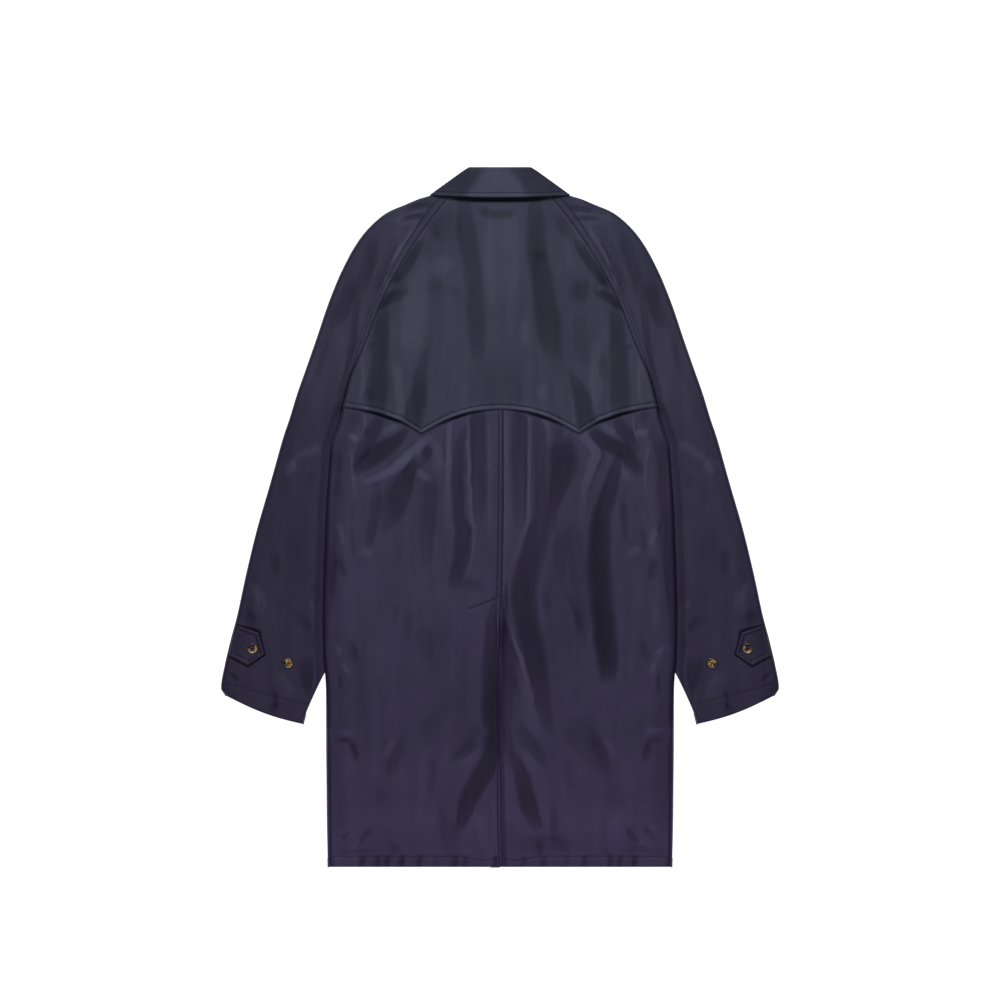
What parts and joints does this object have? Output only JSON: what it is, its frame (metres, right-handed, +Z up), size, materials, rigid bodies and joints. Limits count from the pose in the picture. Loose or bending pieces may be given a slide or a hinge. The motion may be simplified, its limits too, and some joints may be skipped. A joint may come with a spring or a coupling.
{
  "type": "mac coat",
  "caption": "Navy raglan mac coat laid flat, back up, with a western storm yoke, centre back vent, turned-down collar and buttoned cuff tabs.",
  "frame": {"origin": "on the surface the coat lies on, under the middle of its bounding box", "axes": "+Y from the hem to the collar, +X to the wearer's right, +Z up off the surface; the coat lies on its front, so its back faces +Z"},
  "size_m": [0.7972, 1, 0.012],
  "materials": {
    "coat_cloth": "satin, tightly woven, dark navy with a faint violet sheen",
    "button": "polished tortoiseshell, amber with dark brown patches"
  },
  "bodies": {
    "root": {"back_left": "coat_cloth", "back_right": "coat_cloth", "back_yoke": "coat_cloth", "front_left": "coat_cloth", "front_right": "coat_cloth", "sleeve_back_left": "coat_cloth", "sleeve_back_right": "coat_cloth", "sleeve_front_left": "coat_cloth", "sleeve_front_right": "coat_cloth", "collar_leaf": "coat_cloth", "collar_stand": "coat_cloth", "cuff_tab_left": "coat_cloth", "cuff_tab_right": "coat_cloth", "tab_button_left": "button", "tab_button_right": "button", "sleeve_button_left": "button", "sleeve_button_right": "button"}
  },
  "joints": []
}
